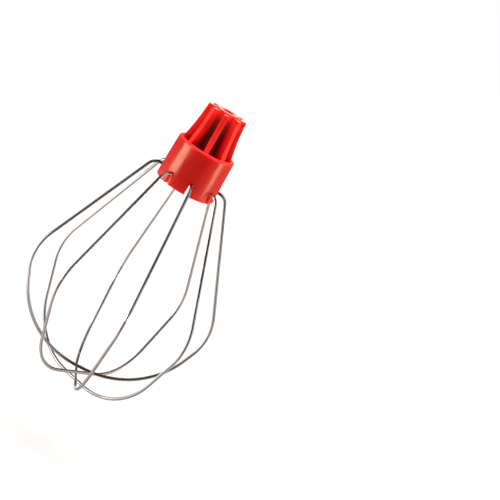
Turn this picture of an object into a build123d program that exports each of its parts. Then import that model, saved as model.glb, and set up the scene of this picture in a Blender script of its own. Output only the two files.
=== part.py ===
from build123d import *
import os
from math import atan2, cos, radians, sin, tan

# Stand mixer wire whisk: a fluted drive hub with four nested wire loops.
# Millimetres and degrees. Z is the whisk's axis with the drive end up, and the
# origin is the mouth of the drive bore. Legs leave the hub every 45 degrees from +X.

# Drive tube and its bore
hub_length = 41.8
tube_radius = 5.75
bore_radius = 3.1
bore_depth = 26.0
tube_edge = 0.35

# Flutes round the drive tube
rib_count = 8
rib_turn = -7.0
rib_thickness = 2.6
rib_setback = 0.6
rib_top_radius = 9.9
rib_foot_radius = 12.6
rib_sweep = 0.45
rib_edge = 0.4

# Collar, and the cover between its flute pockets and the wire sockets
collar_height = 22.0
collar_top_radius = 14.45
collar_rim_radius = 14.95
collar_wall = 1.5
collar_edge = 1.1
pocket_edge = 0.25
pocket_cover = 3.5

# Skirt under the collar, notched for the wires
skirt_wall = 4.0
skirt_edge = 0.4
rim_edge = 0.7
notch_clearance = 0.15
notch_flare = 2.0
wire_bed = 0.4

# Wire loops
loop_count = 4
wire_radius = 0.8
leg_height = 5.45
socket_ring = 7.8
socket_depth = 5.0
socket_clearance = 0.03
end_bend = 2.2
exit_reach = 4.05
exit_bend = 5.0
shoulder_reach = 48.6
shoulder_drop = 65.1
shoulder_bend = 26.6
heel_reach = 31.2
heel_bend = 25.0
outer_heel_bend = 34.5
round_loop_drop = 41.8
round_loop_flat = 5.0
round_loop_gap = 1.3
nest_gap = 0.1

# Heights and radii that follow from them
leg_count = 2 * loop_count
leg_pitch = 360 / leg_count
collar_top_z = collar_height - hub_length
rim_z = -hub_length
leg_z = rim_z + leg_height
notch_radius = wire_radius + notch_clearance
ceiling_z = leg_z + notch_radius - wire_bed
socket_end_z = leg_z + socket_depth
pocket_floor_z = socket_end_z + pocket_cover
pocket_radius = collar_top_radius - collar_wall
rib_root_radius = (bore_radius + tube_radius) / 2
recess_radius = collar_rim_radius - skirt_wall
exit_corner = collar_rim_radius + exit_reach
shoulder_z = leg_z - shoulder_drop
round_loop_z = shoulder_z - round_loop_drop
flat_loop_z = round_loop_z - 2 * wire_radius - round_loop_gap
nest_step = 2 * wire_radius + nest_gap


def leg_plane(angle):
    """Upright plane through the axis, its local x pointing out along the angle and its local y up."""
    outward = (cos(radians(angle)), sin(radians(angle)), 0)
    sideways = (sin(radians(angle)), -cos(radians(angle)), 0)
    return Plane(origin=(0, 0, 0), x_dir=outward, z_dir=sideways)


# Seat of one wire leg: the blind socket with its bend, and the flared notch through the skirt
with BuildPart() as wire_seat:
    with BuildLine(leg_plane(0)) as seat_route:
        FilletPolyline(
            (socket_ring, socket_end_z + socket_clearance),
            (socket_ring, leg_z),
            (exit_corner, leg_z),
            radius=end_bend,
        )
    with BuildSketch(Plane(origin=seat_route.line @ 0, z_dir=seat_route.line % 0)):
        Circle(wire_radius + socket_clearance)
    sweep()
    with BuildSketch(Plane.YZ.offset(socket_ring)):
        flare = leg_height * tan(radians(notch_flare))
        with BuildLine():
            Polyline(
                (notch_radius, leg_z),
                (notch_radius + flare, rim_z),
                (-notch_radius - flare, rim_z),
                (-notch_radius, leg_z),
            )
            ThreePointArc((-notch_radius, leg_z), (0, leg_z + notch_radius), (notch_radius, leg_z))
        make_face()
    extrude(amount=exit_corner - socket_ring)

# One flute: a thin rib with a hollow-swept outer edge and rounded corners
with BuildPart() as rib:
    with BuildSketch(Plane.XZ):
        with BuildLine():
            rib_top = (rib_top_radius, -rib_setback)
            rib_foot = (rib_foot_radius, collar_top_z)
            SagittaArc(rib_foot, rib_top, rib_sweep)
            Polyline(
                rib_foot,
                (pocket_radius + collar_wall / 2, pocket_floor_z),
                (rib_root_radius, pocket_floor_z),
                (rib_root_radius, -rib_setback),
                rib_top,
            )
        make_face()
    extrude(amount=rib_thickness / 2, both=True)
    rib_end = rib.faces().sort_by(Axis.Z)[-1].edges().sort_by(Axis.X)[1:]
    fillet(rib.edges().filter_by(GeomType.CIRCLE) + rib_end, rib_edge)

# Drive hub, moulded in one piece
with BuildPart() as drive_hub:
    with BuildSketch(Plane.XZ):
        with BuildLine():
            Polyline(
                (0, 0),
                (tube_radius, 0),
                (tube_radius, pocket_floor_z),
                (pocket_radius, pocket_floor_z),
                (pocket_radius, collar_top_z),
                (collar_top_radius, collar_top_z),
                (collar_rim_radius, rim_z),
                (recess_radius, rim_z),
                (recess_radius, ceiling_z),
                (0, ceiling_z),
                close=True,
            )
        make_face()
    revolve(axis=Axis.Z)
    fillet(drive_hub.edges().filter_by_position(Axis.Z, 0, 0), tube_edge)
    lips = drive_hub.edges().filter_by_position(Axis.Z, collar_top_z, collar_top_z).sort_by(SortBy.RADIUS)
    fillet(lips[0], pocket_edge)
    fillet(lips[-1], collar_edge)
    rim_edges = drive_hub.edges().filter_by_position(Axis.Z, rim_z, rim_z).sort_by(SortBy.RADIUS)
    fillet(rim_edges[0], skirt_edge)
    fillet(rim_edges[-1], rim_edge)
    Hole(bore_radius, depth=bore_depth)
    with PolarLocations(0, rib_count, start_angle=rib_turn):
        add(rib.part)
    with PolarLocations(0, leg_count):
        add(wire_seat.part, mode=Mode.SUBTRACT)

drive_hub.part.label = "drive_hub"

# The first loop's heels are rounded until only a short flat is left between them
heel_turn = atan2(round_loop_drop, shoulder_reach - heel_reach)
round_heel_bend = (heel_reach - round_loop_flat / 2) / tan(heel_turn / 2)

# Wire loops: the round one inside, then the ones with a flat bottom, each nested under the last
heel_bends = [round_heel_bend, *[heel_bend] * (loop_count - 2), outer_heel_bend]
wire_loops = []
for index in range(loop_count):
    bottom_z = flat_loop_z - (index - 1) * nest_step if index else round_loop_z
    half_loop = [
        (socket_ring, socket_end_z),
        (socket_ring, leg_z),
        (exit_corner, leg_z),
        (shoulder_reach, shoulder_z),
        (heel_reach, bottom_z),
    ]
    other_half = [(-x, z) for x, z in reversed(half_loop)]
    bends = [end_bend, exit_bend, shoulder_bend, heel_bends[index]]
    with BuildPart() as wire_loop:
        with BuildLine(leg_plane(index * leg_pitch)) as loop_route:
            FilletPolyline(*half_loop, *other_half, radius=bends + bends[::-1])
        with BuildSketch(Plane(origin=loop_route.line @ 0, z_dir=loop_route.line % 0)):
            Circle(wire_radius)
        sweep()
    wire_loop.part.label = f"wire_loop_{index + 1}"
    wire_loops.append(wire_loop.part)

os.makedirs("parts", exist_ok=True)
for piece in [drive_hub.part, *wire_loops]:
    export_step(piece, f"parts/{piece.label}.step")
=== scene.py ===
"""Looks of the stand mixer wire whisk: red moulded hub, four bent steel wire loops, white studio.

Metres throughout. The frame is the part's own: Z is the whisk's axis with the drive end up, and the
origin is the mouth of the drive bore. Directions are given as azimuth, in degrees from -Y towards +X,
and elevation above the horizon.
"""
from math import radians, tan

import bpy
import numpy as np
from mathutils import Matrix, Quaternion, Vector


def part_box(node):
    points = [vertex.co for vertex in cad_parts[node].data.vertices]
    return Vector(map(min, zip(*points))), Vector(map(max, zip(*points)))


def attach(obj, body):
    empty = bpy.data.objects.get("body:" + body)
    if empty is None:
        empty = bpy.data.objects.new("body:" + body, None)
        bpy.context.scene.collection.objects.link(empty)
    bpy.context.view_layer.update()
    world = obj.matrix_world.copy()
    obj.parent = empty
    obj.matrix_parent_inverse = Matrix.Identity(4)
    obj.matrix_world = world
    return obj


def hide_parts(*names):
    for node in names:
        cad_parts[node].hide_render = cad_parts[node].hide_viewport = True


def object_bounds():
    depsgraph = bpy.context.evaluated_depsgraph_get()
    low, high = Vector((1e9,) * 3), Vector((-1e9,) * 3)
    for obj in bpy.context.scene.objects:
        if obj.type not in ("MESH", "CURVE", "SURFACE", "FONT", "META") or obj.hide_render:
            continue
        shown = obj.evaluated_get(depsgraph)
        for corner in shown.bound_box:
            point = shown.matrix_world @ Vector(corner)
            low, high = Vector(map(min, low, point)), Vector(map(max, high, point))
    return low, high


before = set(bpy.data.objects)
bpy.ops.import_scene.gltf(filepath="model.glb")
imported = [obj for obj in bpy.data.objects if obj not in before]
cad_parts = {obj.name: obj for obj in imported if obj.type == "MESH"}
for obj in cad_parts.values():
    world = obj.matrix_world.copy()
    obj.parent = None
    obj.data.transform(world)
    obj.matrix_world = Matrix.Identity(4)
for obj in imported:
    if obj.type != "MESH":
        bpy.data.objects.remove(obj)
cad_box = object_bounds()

MM = 0.001

# Bent wire, with the same sizes as the solids
WIRE_RADIUS = 0.8 * MM
LEG_HEIGHT = 5.45 * MM
LEG_PITCH = 45
SOCKET_RING = 7.8 * MM
SOCKET_DEPTH = 5.0 * MM
EXIT_CORNER = 19.0 * MM
SHOULDER_REACH = 48.6 * MM
SHOULDER_DROP = 65.1 * MM
HEEL_REACH = 31.2 * MM
END_BEND = 2.2 * MM
EXIT_BEND = 5.0 * MM
SHOULDER_BEND = 26.6 * MM
HEEL_BEND = 25.0 * MM
OUTER_HEEL_BEND = 34.5 * MM
ROUND_LOOP_FLAT = 5.0 * MM
WIRE_STEP = 0.5 * MM
WIRE_SIDES = 28
ARC_POINTS = 80

# Red plastic: pigments and painted light and shade, how much shows, and the heights and depths where
# they change
COLLAR_RED = (0.74, 0.020, 0.018)
MOTTLED_RED = (0.81, 0.026, 0.021)
# Painted light: a lighter red that stands for light falling on the flute tops and the skirt's lower
# edge
PAINTED_LIGHT_RED = (0.90, 0.032, 0.027)
# Painted shade: a dark red that stands for the shade in the flute bottoms and the bore
PAINTED_SHADE_RED = (0.14, 0.003, 0.005)
# Where that painted light lies, and how much of it shows at the skirt's lower edge
FLUTE_FOOT = (-19.5 * MM, -17.0 * MM)
SKIRT_RIM = (-41.5 * MM, -36.0 * MM)
RIM_LIGHT_SHARE = 0.8
# Where the painted shade of the flute bottoms and the bore lies, and how much of it shows
ROOT_START = (-6.0 * MM, -1.0 * MM)
ROOT_END = (-34.0 * MM, -30.0 * MM)
ROOT_DEPTH = (2.7 * MM, 7.2 * MM)
ROOT_SLOPE = 0.22
ROOT_FLOOR = -20.0 * MM
ROOT_SHADE_SHARE = 0.92
BORE_SKIN = (3.15 * MM, 3.3 * MM)
BORE_SHADE_SHARE = 0.6
PLASTIC_ROUGHNESS = (0.17, 0.24)
PLASTIC_GLOSS = (1.0, 0.86, 0.54)
PLASTIC_IOR = 1.49
GLOW_DEPTH = 3.0 * MM
GLOW_SPREAD = (1.0, 0.10, 0.09)

# Steel wire: its tones, and the fineness of its drawn lines along and round the wire
STEEL_DARK = (0.56, 0.522, 0.492)
STEEL_LIGHT = (0.62, 0.582, 0.552)
STEEL_ROUGHNESS = (0.08, 0.20)
DRAWN_LINES = (90.0, 30.0, 1.0)

# Noise has most of its values in this range
NOISE_RANGE = (0.3, 0.7)

# Sockets of a colour Mix node
FIRST_COLOUR, SECOND_COLOUR, MIXED_COLOUR = 6, 7, 2

# Camera, at the photograph's viewing angle
CAMERA_AIM = Vector((40.4, -8.3, -51.3)) * MM
CAMERA_AZIMUTH = -11.64
CAMERA_ELEVATION = 12.57
CAMERA_ROLL = 30.72
CAMERA_DISTANCE = 0.9352
CAMERA_LENS = 143.56

# Studio
FLOOR_Z = cad_box[0].z - 40.0 * MM
FLOOR_REACH = 20.0
FLOOR_STEPS = 9
FLOOR_GREY = (0.18, 0.175, 0.17)
FLOOR_GLOW = (0.62, 1.0)
FLOOR_FADE = (0.2, 1.2)
WORLD_FILL = 0.01
ROOM_DISTANCE = 2.6
PANEL_DISTANCE = 0.75
SCREEN_DISTANCE = 0.16
FLAG_DISTANCE = 0.1
CARD_LIFT = 1.0 * MM
CARD_STEPS = 25
SECTOR_STEPS = 73
ROOM_WHITE = (1.0, 0.97, 0.98)
LAMP_WHITE = (1.0, 0.94, 0.84)
BEIGE = (1.0, 0.936, 0.88)
AMBER = (1.0, 0.82, 0.5)


def toward(azimuth, elevation):
    """Unit vector that points away from the whisk in that direction."""
    a, e = np.radians(azimuth), np.radians(elevation)
    return np.stack([np.sin(a) * np.cos(e), -np.cos(a) * np.cos(e), np.sin(e)], axis=-1)


def grid_faces(rows, columns, closed):
    """Corner indices of the quads between neighbouring rows and columns of a grid of points."""
    i = np.arange(rows - 1)[:, None]
    j = np.arange(columns if closed else columns - 1)[None, :]
    k = (j + 1) % columns
    corners = [i * columns + j, i * columns + k, (i + 1) * columns + k, (i + 1) * columns + j]
    return np.stack(corners, axis=-1)


def surface(name, points, closed=False, caps=False, chart=None):
    """Mesh object over a grid of points: rows run along the shape and columns across or around it.

    A closed grid joins its last column to its first, and caps close its first and last row.
    The chart gives each row its distance along the shape, and the columns share one turn of 0 to 1.
    """
    rows, columns = points.shape[:2]
    quads = grid_faces(rows, columns, closed).reshape(-1, 4)
    faces = quads.tolist()
    if caps:
        faces.append(list(range(columns))[::-1])
        faces.append(list(range((rows - 1) * columns, rows * columns)))
    mesh = bpy.data.meshes.new(name)
    mesh.from_pydata(points.reshape(-1, 3).tolist(), [], faces)
    mesh.polygons.foreach_set("use_smooth", np.ones(len(faces), bool))
    if chart is not None:
        i, j = np.divmod(quads[:, 0], columns)
        u = np.stack([chart[i], chart[i], chart[i + 1], chart[i + 1]], axis=-1)
        v = np.stack([j, j + 1, j + 1, j], axis=-1) / columns
        flat = np.zeros((len(mesh.loops), 2), np.float32)
        flat[: quads.size] = np.stack([u, v], axis=-1).reshape(-1, 2)
        mesh.uv_layers.new(name="along_wire").data.foreach_set("uv", flat.ravel())
    mesh.update()
    piece = bpy.data.objects.new(name, mesh)
    bpy.context.scene.collection.objects.link(piece)
    return piece


# Wire loops

def bent_line(corners, bends):
    """Points along straight runs with a tangent arc at each inner corner.

    An arc of radius b that turns by t starts and ends b tan(t/2) from its corner, and its centre lies
    b / cos(t/2) from the corner along the bisector of the two runs.
    """
    inner = corners[1:-1]
    back = corners[:-2] - inner
    on = corners[2:] - inner
    back /= np.linalg.norm(back, axis=1)[:, None]
    on /= np.linalg.norm(on, axis=1)[:, None]
    turn = np.pi - np.arccos((back * on).sum(axis=1))
    bisector = back + on
    bisector /= np.linalg.norm(bisector, axis=1)[:, None]
    centre = inner + bisector * (bends / np.cos(turn / 2))[:, None]
    spoke = inner + back * (bends * np.tan(turn / 2))[:, None] - centre
    side = np.sign(-back[:, 0] * on[:, 1] + back[:, 1] * on[:, 0])
    angle = (side * turn)[:, None] * np.linspace(0, 1, ARC_POINTS)
    x = centre[:, :1] + spoke[:, :1] * np.cos(angle) - spoke[:, 1:] * np.sin(angle)
    z = centre[:, 1:] + spoke[:, :1] * np.sin(angle) + spoke[:, 1:] * np.cos(angle)
    arcs = np.stack([x, z], axis=-1).reshape(-1, 2)
    return np.concatenate([corners[:1], arcs, corners[-1:]])


def even_steps(line, step):
    """The same line at even steps, with the distance along it."""
    run = np.concatenate([[0], np.cumsum(np.linalg.norm(np.diff(line, axis=0), axis=1))])
    along = np.linspace(0, run[-1], int(run[-1] / step) + 1)
    x, z = np.interp(along, run, line[:, 0]), np.interp(along, run, line[:, 1])
    return np.stack([x, z], axis=-1), along


def wire_loop(name, node, angle, heel_bend=None):
    """A circle carried along the loop's bent line, which stands in the upright plane at that angle.

    A point of the skin is the line's point plus the wire radius times (cos v sideways in the plane less
    sin v across it), where v goes round the wire. With no heel bend given, the heels are rounded until
    only a short flat is left between them.
    """
    leg_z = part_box("drive_hub")[0].z + LEG_HEIGHT
    shoulder_z = leg_z - SHOULDER_DROP
    bottom_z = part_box(node)[0].z + WIRE_RADIUS
    if heel_bend is None:
        heel_turn = np.arctan2(shoulder_z - bottom_z, SHOULDER_REACH - HEEL_REACH)
        heel_bend = (HEEL_REACH - ROUND_LOOP_FLAT / 2) / tan(heel_turn / 2)
    half = np.array([
        (SOCKET_RING, leg_z + SOCKET_DEPTH),
        (SOCKET_RING, leg_z),
        (EXIT_CORNER, leg_z),
        (SHOULDER_REACH, shoulder_z),
        (HEEL_REACH, bottom_z),
    ])
    bends = [END_BEND, EXIT_BEND, SHOULDER_BEND, heel_bend]
    corners = np.concatenate([half, half[::-1] * (-1, 1)])
    line, along = even_steps(bent_line(corners, np.array(bends + bends[::-1])), WIRE_STEP)
    heading = np.gradient(line, axis=0)
    heading /= np.linalg.norm(heading, axis=1)[:, None]
    outward = np.array([np.cos(radians(angle)), np.sin(radians(angle)), 0])
    across = np.array([-np.sin(radians(angle)), np.cos(radians(angle)), 0])
    up = np.array([0, 0, 1])
    centre = line[:, :1] * outward + line[:, 1:] * up
    sideways = -heading[:, 1:] * outward + heading[:, :1] * up
    v = np.linspace(0, 2 * np.pi, WIRE_SIDES, endpoint=False)[None, :, None]
    skin = centre[:, None] + WIRE_RADIUS * (np.cos(v) * sideways[:, None] - np.sin(v) * across)
    piece = surface(name, skin, closed=True, caps=True, chart=along)
    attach(piece, "root")
    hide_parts(node)
    return piece


# Materials

def add_node(tree, kind, **values):
    """New shader node with its sockets or properties set by name."""
    made = tree.nodes.new(kind)
    for key, value in values.items():
        if hasattr(made, key):
            setattr(made, key, value)
        else:
            made.inputs[key.replace("_", " ")].default_value = value
    return made


def new_material(name):
    """Material with an empty Principled shader, its node tree and that shader."""
    material = bpy.data.materials.new(name)
    material.use_nodes = True
    return material, material.node_tree, material.node_tree.nodes["Principled BSDF"]


def blend_colours(tree, factor, first, second):
    """Colour from the first to the second with the factor. The first may be another node's colour."""
    mix = add_node(tree, "ShaderNodeMix", data_type="RGBA")
    if isinstance(first, bpy.types.NodeSocket):
        tree.links.new(first, mix.inputs[FIRST_COLOUR])
    else:
        mix.inputs[FIRST_COLOUR].default_value = (*first, 1)
    mix.inputs[SECOND_COLOUR].default_value = (*second, 1)
    tree.links.new(factor, mix.inputs["Factor"])
    return mix.outputs[MIXED_COLOUR]


def ramp(tree, value, start, stop, first, second, course="SMOOTHSTEP"):
    """Number that goes from the first to the second while the value goes from start to stop."""
    span = add_node(tree, "ShaderNodeMapRange", interpolation_type=course)
    ends = {"From Min": start, "From Max": stop, "To Min": first, "To Max": second}
    for socket, number in ends.items():
        span.inputs[socket].default_value = number
    tree.links.new(value, span.inputs["Value"])
    return span.outputs["Result"]


def spread(tree, noise, low, high):
    """Number that goes evenly from low to high over most of the noise's values."""
    return ramp(tree, noise.outputs[0], *NOISE_RANGE, low, high, course="LINEAR")


def calculate(tree, operation, *values):
    """Result of one sum, each value being a number or another node's output."""
    made = add_node(tree, "ShaderNodeMath", operation=operation)
    for socket, value in zip(made.inputs, values):
        if isinstance(value, bpy.types.NodeSocket):
            tree.links.new(value, socket)
        else:
            socket.default_value = value
    return made.outputs[0]


def axis_distance(tree):
    """Distance from the whisk's axis."""
    flat = add_node(tree, "ShaderNodeVectorMath", operation="MULTIPLY")
    flat.inputs[1].default_value = (1, 1, 0)
    reach = add_node(tree, "ShaderNodeVectorMath", operation="LENGTH")
    tree.links.new(add_node(tree, "ShaderNodeTexCoord").outputs["Object"], flat.inputs[0])
    tree.links.new(flat.outputs[0], reach.inputs[0])
    return reach.outputs["Value"]


def red_plastic():
    """Moulded red plastic that lets a little light through, with a faint mottle and a fine satin grain.

    The thin flute tops and the skirt's lower edge are painted lighter than the thick collar, as painted
    light.
    The flute bottoms get painted shade, darker the further in and down they lie, and the bore's wall an
    even painted shade.
    """
    material, tree, shader = new_material("red_moulded_plastic")
    place = add_node(tree, "ShaderNodeTexCoord").outputs["Object"]
    height = add_node(tree, "ShaderNodeSeparateXYZ")
    tree.links.new(place, height.inputs[0])
    z = height.outputs["Z"]
    mottle = add_node(tree, "ShaderNodeTexNoise", Scale=90.0, Detail=3.0)
    grain = add_node(tree, "ShaderNodeTexNoise", Scale=2600.0, Detail=2.0)
    bump = add_node(tree, "ShaderNodeBump", Strength=0.12, Distance=0.05 * MM)
    tree.links.new(place, mottle.inputs["Vector"])
    tree.links.new(place, grain.inputs["Vector"])
    pigment = blend_colours(tree, spread(tree, mottle, 0.0, 1.0), COLLAR_RED, MOTTLED_RED)
    # Painted light: the flute tops above the collar and the skirt's lower edge get the lighter red
    painted_flute_light = ramp(tree, z, *FLUTE_FOOT, 0.0, 1.0)
    painted_rim_light = ramp(tree, z, *SKIRT_RIM, RIM_LIGHT_SHARE, 0.0)
    pigment = blend_colours(tree, calculate(tree, "MAXIMUM", painted_flute_light, painted_rim_light), pigment, PAINTED_LIGHT_RED)
    # Painted shade: the flute bottoms darken the further in and down they lie
    drop = calculate(tree, "MAXIMUM", z, ROOT_FLOOR)
    inward = calculate(tree, "MULTIPLY_ADD", drop, ROOT_SLOPE, axis_distance(tree))
    below_top = ramp(tree, z, *ROOT_START, 1.0, 0.0)
    above_skirt = ramp(tree, z, *ROOT_END, 0.0, 1.0)
    painted_root_shade = calculate(tree, "MULTIPLY", ramp(tree, inward, *ROOT_DEPTH, ROOT_SHADE_SHARE, 0.0), below_top)
    # Painted shade: the bore's wall is darkened evenly
    bore = ramp(tree, axis_distance(tree), *BORE_SKIN, BORE_SHADE_SHARE, 0.0)
    painted_shade = calculate(tree, "MAXIMUM", calculate(tree, "MULTIPLY", painted_root_shade, above_skirt), bore)
    colour = blend_colours(tree, painted_shade, pigment, PAINTED_SHADE_RED)
    tree.links.new(colour, shader.inputs["Base Color"])
    tree.links.new(spread(tree, mottle, *PLASTIC_ROUGHNESS), shader.inputs["Roughness"])
    tree.links.new(grain.outputs[0], bump.inputs["Height"])
    tree.links.new(bump.outputs[0], shader.inputs["Normal"])
    shader.inputs["IOR"].default_value = PLASTIC_IOR
    shader.inputs["Specular Tint"].default_value = (*PLASTIC_GLOSS, 1)
    shader.inputs["Subsurface Weight"].default_value = 1.0
    shader.inputs["Subsurface Scale"].default_value = GLOW_DEPTH
    shader.inputs["Subsurface Radius"].default_value = GLOW_SPREAD
    return material


def steel_wire():
    """Drawn stainless steel: fine lines along the wire and slow changes of tone from handling."""
    material, tree, shader = new_material("drawn_steel")
    chart = add_node(tree, "ShaderNodeUVMap", uv_map="along_wire").outputs[0]
    stretch = add_node(tree, "ShaderNodeMapping")
    stretch.inputs["Scale"].default_value = DRAWN_LINES
    lines = add_node(tree, "ShaderNodeTexNoise", Scale=1.0, Detail=3.0)
    place = add_node(tree, "ShaderNodeTexCoord").outputs["Object"]
    patches = add_node(tree, "ShaderNodeTexNoise", Scale=70.0, Detail=2.0)
    bump = add_node(tree, "ShaderNodeBump", Strength=0.10, Distance=0.02 * MM)
    tree.links.new(chart, stretch.inputs["Vector"])
    tree.links.new(stretch.outputs[0], lines.inputs["Vector"])
    tree.links.new(place, patches.inputs["Vector"])
    colour = blend_colours(tree, spread(tree, patches, 0.0, 1.0), STEEL_DARK, STEEL_LIGHT)
    tree.links.new(colour, shader.inputs["Base Color"])
    tree.links.new(spread(tree, lines, *STEEL_ROUGHNESS), shader.inputs["Roughness"])
    tree.links.new(lines.outputs[0], bump.inputs["Height"])
    tree.links.new(bump.outputs[0], shader.inputs["Normal"])
    shader.inputs["Metallic"].default_value = 1.0
    return material


# Studio

def seen_directly(tree):
    """1 for rays from the camera, from a mirror-like surface or through glass, else 0."""
    path = add_node(tree, "ShaderNodeLightPath").outputs
    either = calculate(tree, "MAXIMUM", path["Is Camera Ray"], path["Is Glossy Ray"])
    return calculate(tree, "MAXIMUM", either, path["Is Transmission Ray"])


def white_surroundings():
    """World that shows white, and lights the whisk with a weaker even fill."""
    world = bpy.data.worlds.new("studio")
    world.use_nodes = True
    tree = world.node_tree
    background = tree.nodes["Background"]
    background.inputs["Color"].default_value = (1, 1, 1, 1)
    level = ramp(tree, seen_directly(tree), 0.0, 1.0, WORLD_FILL, 1.0)
    tree.links.new(level, background.inputs["Strength"])
    bpy.context.scene.world = world


def pale_floor():
    """Flat square floor under the whisk, white further off, that keeps the shadow near the whisk."""
    side = np.linspace(-FLOOR_REACH, FLOOR_REACH, FLOOR_STEPS)
    x, y = np.meshgrid(side, side, indexing="xy")
    floor = surface("studio_floor", np.stack([x, y, np.full_like(x, FLOOR_Z)], axis=-1))
    material, tree, shader = new_material("pale_floor")
    shader.inputs["Base Color"].default_value = (*FLOOR_GREY, 1)
    shader.inputs["Roughness"].default_value = 0.9
    shader.inputs["Specular IOR Level"].default_value = 0.0
    shader.inputs["Emission Color"].default_value = (1, 1, 1, 1)
    glow = ramp(tree, axis_distance(tree), *FLOOR_FADE, *FLOOR_GLOW)
    strength = calculate(tree, "MULTIPLY", glow, seen_directly(tree))
    tree.links.new(strength, shader.inputs["Emission Strength"])
    floor.data.materials.append(material)


def reflected_card(name, points):
    """Node tree and shader of a new glowing card over a grid of points.

    The card shows in the whisk's shine, but not in the picture, the shadows or the light on the whisk.
    """
    card = surface(name, points)
    material, tree, shader = new_material(name)
    shader.inputs["Base Color"].default_value = (0, 0, 0, 1)
    shader.inputs["Specular IOR Level"].default_value = 0.0
    card.data.materials.append(material)
    card.visible_camera = False
    card.visible_diffuse = False
    card.visible_shadow = False
    return tree, shader


def room_card(name, azimuths, elevations, level, tint=ROOM_WHITE, distance=ROOM_DISTANCE):
    """Card over part of a sphere: each point is the distance times the unit vector of its direction."""
    across, upward = np.linspace(*azimuths, CARD_STEPS), np.linspace(*elevations, CARD_STEPS)
    a, e = np.meshgrid(across, upward, indexing="xy")
    _, shader = reflected_card(name, distance * toward(a, e))
    shader.inputs["Emission Color"].default_value = (*tint, 1)
    shader.inputs["Emission Strength"].default_value = level


def floor_card(name, azimuths, near, far, fade):
    """Card over a sector of the floor, each point at an azimuth and a distance from the whisk's axis.

    Its level goes from near to far, and its tint from beige to white, while the distance goes through
    the fade.
    """
    around, outward = np.linspace(*azimuths, SECTOR_STEPS), np.linspace(0, ROOM_DISTANCE, CARD_STEPS)
    a, r = np.meshgrid(np.radians(around), outward, indexing="xy")
    height = np.full_like(r, FLOOR_Z + CARD_LIFT)
    tree, shader = reflected_card(name, np.stack([r * np.sin(a), -r * np.cos(a), height], axis=-1))
    factor = ramp(tree, axis_distance(tree), *fade, 0.0, 1.0)
    colour = blend_colours(tree, factor, near * np.array(BEIGE), far * np.array(ROOM_WHITE))
    tree.links.new(colour, shader.inputs["Emission Color"])
    shader.inputs["Emission Strength"].default_value = 1.0


def softbox(name, azimuth, elevation, distance, width, height, power):
    """Soft rectangular lamp that faces the whisk from that direction."""
    lamp = bpy.data.lights.new(name, "AREA")
    lamp.shape = "RECTANGLE"
    lamp.size = width
    lamp.size_y = height
    lamp.energy = power
    holder = bpy.data.objects.new(name, lamp)
    out = Vector(toward(azimuth, elevation))
    holder.location = Vector((0, 0, (cad_box[0].z + cad_box[1].z) / 2)) + out * distance
    holder.rotation_mode = "QUATERNION"
    holder.rotation_quaternion = out.to_track_quat("Z", "Y")
    holder.visible_camera = False
    holder.visible_glossy = False
    bpy.context.scene.collection.objects.link(holder)


def photo_camera():
    """Camera that looks at the aim from the photograph's direction, rolled as it was held."""
    camera = bpy.data.objects.new("camera", bpy.data.cameras.new("camera"))
    out = Vector(toward(CAMERA_AZIMUTH, CAMERA_ELEVATION))
    roll = Quaternion((0, 0, 1), radians(CAMERA_ROLL))
    camera.location = CAMERA_AIM + out * CAMERA_DISTANCE
    camera.rotation_mode = "QUATERNION"
    camera.rotation_quaternion = out.to_track_quat("Z", "Y") @ roll
    camera.data.lens = CAMERA_LENS
    bpy.context.scene.collection.objects.link(camera)
    bpy.context.scene.camera = camera


# Whisk
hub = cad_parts["drive_hub"]
hub.data.materials.clear()
hub.data.materials.append(red_plastic())
steel = steel_wire()
for index, heel_bend in enumerate((None, HEEL_BEND, HEEL_BEND, OUTER_HEEL_BEND)):
    loop = wire_loop(f"bent_wire_{index + 1}", f"wire_loop_{index + 1}", LEG_PITCH * index, heel_bend)
    loop.data.materials.append(steel)

# Surroundings, and the room and floor as the whisk mirrors them
white_surroundings()
pale_floor()
room_card("ceiling_card", (-180, 180), (62, 90), level=0.08)
room_card("front_card", (-60, 28), (-6, 62), level=0.02)
room_card("left_card", (-160, -60), (-5, 62), level=0.58)
room_card("right_card", (28, 110), (-5, 62), level=0.80)
room_card("back_card", (110, 200), (-5, 62), level=0.06)
floor_card("front_floor_card", (-5, 30), near=0.15, far=0.02, fade=(0.06, 0.22))
floor_card("left_floor_card", (-60, -5), near=0.90, far=0.12, fade=(0.13, 0.32))
floor_card("right_floor_card", (30, 110), near=0.58, far=0.84, fade=(0.06, 0.22))
floor_card("back_floor_card", (110, 300), near=0.47, far=1.60, fade=(0.06, 0.22))

# Panels make the collar's two bright bands, and screens keep those out of the wires
room_card("left_panel", (-95, -64), (-14, -5), level=10.0, tint=LAMP_WHITE, distance=PANEL_DISTANCE)
room_card("right_panel", (58, 80), (-14, -5), level=6.2, tint=LAMP_WHITE, distance=PANEL_DISTANCE)
room_card("left_screen", (-98, -60), (-66, -27.5), level=1.5, distance=SCREEN_DISTANCE)
room_card("right_screen", (54, 84), (-66, -27.5), level=0.84, distance=SCREEN_DISTANCE)

# Flags keep the bright floor and walls out of the hub's sides, and a panel shines in its top faces
room_card("back_flag", (84, 180), (-35, 5), level=0.22, tint=AMBER, distance=FLAG_DISTANCE)
room_card("left_flag", (180, 263), (-35, 5), level=0.06, tint=AMBER, distance=FLAG_DISTANCE)
room_card("rib_flag", (-130, -70), (-16, 16), level=0.15, distance=FLAG_DISTANCE)
room_card("right_flag", (26, 57), (-37, -9), level=0.05, distance=FLAG_DISTANCE)
room_card("top_panel", (154, 184), (8, 18), level=2.8, tint=LAMP_WHITE, distance=FLAG_DISTANCE)

# Lamps, camera and view
bpy.context.scene.view_settings.view_transform = "Standard"
softbox("left_softbox", -106, 35, distance=1.4, width=0.7, height=1.0, power=19)
softbox("right_softbox", 84, 35, distance=1.4, width=0.7, height=1.0, power=16)
softbox("top_softbox", -12, 84, distance=1.4, width=0.7, height=0.7, power=44)
softbox("low_softbox", -12, -88, distance=0.11, width=0.08, height=0.08, power=0.22)
photo_camera()
